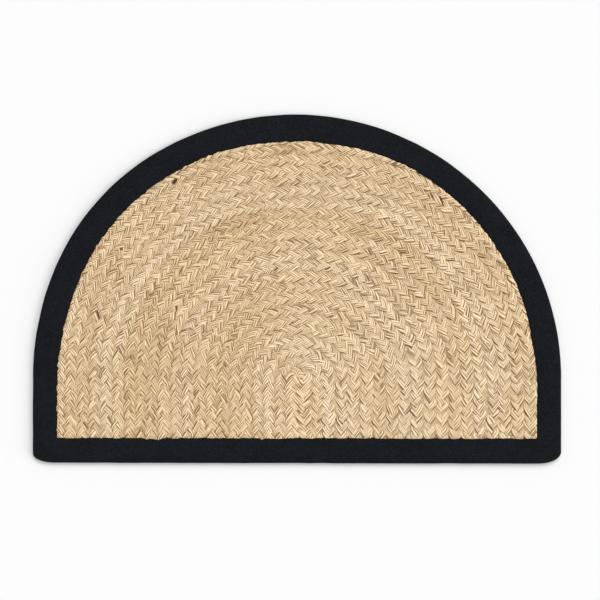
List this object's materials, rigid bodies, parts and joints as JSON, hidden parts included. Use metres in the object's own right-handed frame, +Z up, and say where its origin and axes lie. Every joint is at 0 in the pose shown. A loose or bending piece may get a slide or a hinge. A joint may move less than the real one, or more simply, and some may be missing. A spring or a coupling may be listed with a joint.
{
  "type": "half-round doormat",
  "caption": "Half-round doormat of coiled jute plait, bound all round with black cotton tape.",
  "frame": {"origin": "under the middle of the mat's bounding box, at floor level", "axes": "+X along the straight edge, +Y from the straight edge to the round edge, +Z up off the floor"},
  "size_m": [0.75, 0.496, 0.008],
  "materials": {
    "jute": "natural jute fibre, matt with a slight sheen",
    "black_cotton": "matt black cotton tape"
  },
  "bodies": {
    "root": {"jute_field": "jute", "binding": "black_cotton"}
  },
  "joints": []
}
